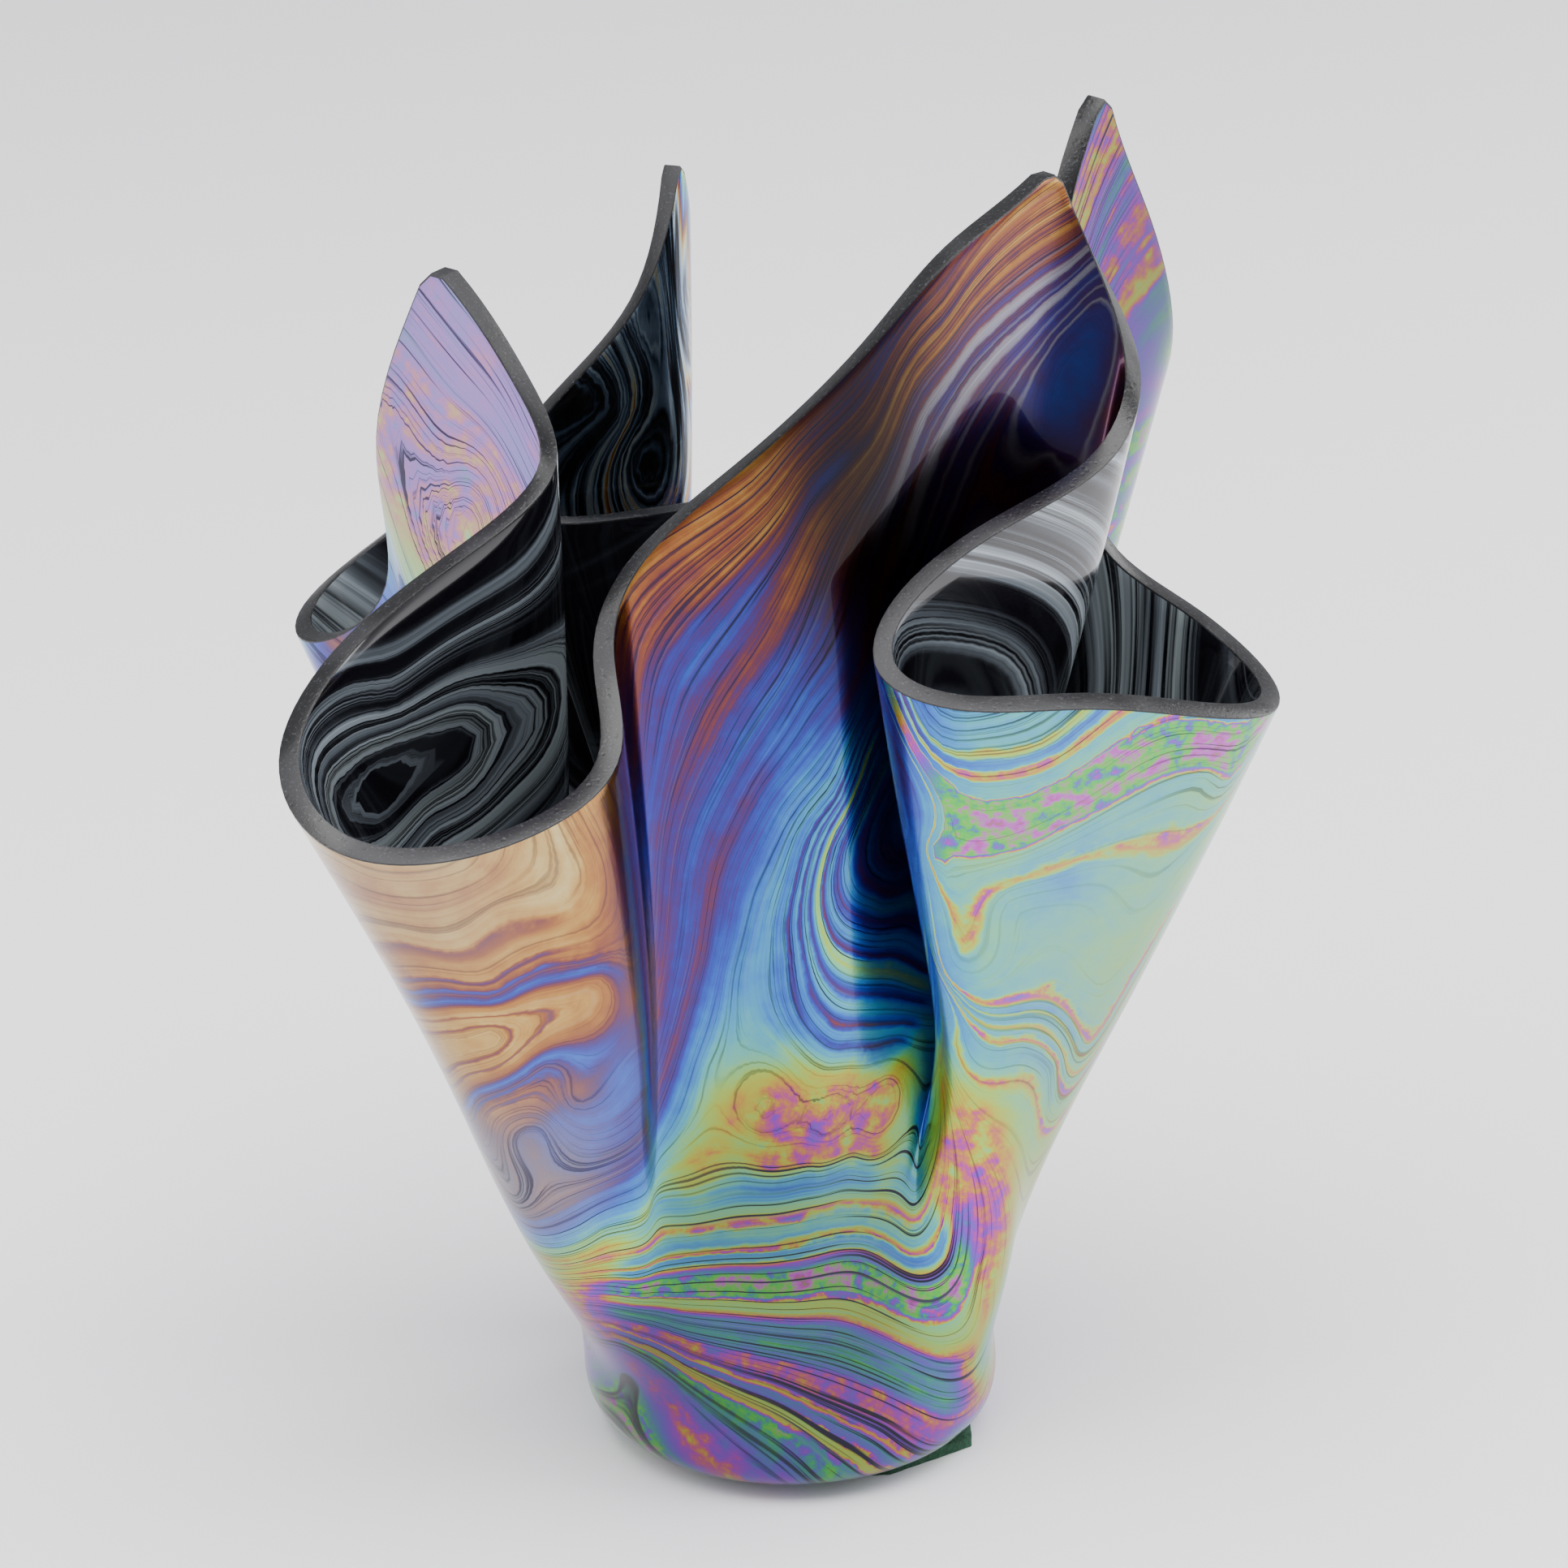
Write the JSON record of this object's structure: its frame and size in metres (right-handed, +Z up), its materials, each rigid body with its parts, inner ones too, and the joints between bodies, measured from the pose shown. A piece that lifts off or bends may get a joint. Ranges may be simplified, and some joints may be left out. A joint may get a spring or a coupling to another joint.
{
  "type": "handkerchief vase",
  "caption": "Hand blown dark art glass vase: a folded sheet with pointed corners and deep lobes, drawn up from a round foot on a cut felt pad.",
  "frame": {"origin": "centre of the foot on the felt's underside, where the vase rests", "axes": "+Z up through the foot; -Y is the front, with the deep front valley between two lobes"},
  "size_m": [0.231, 0.2081, 0.3238],
  "materials": {
    "glass": "glossy iridescent lustre outside, polished black inside, matte ground rim",
    "felt": "felted wool",
    "adhesive": "dried glue film"
  },
  "bodies": {
    "root": {"glass_body": "glass", "felt_pad": "felt", "pad_adhesive": "adhesive"}
  },
  "joints": []
}
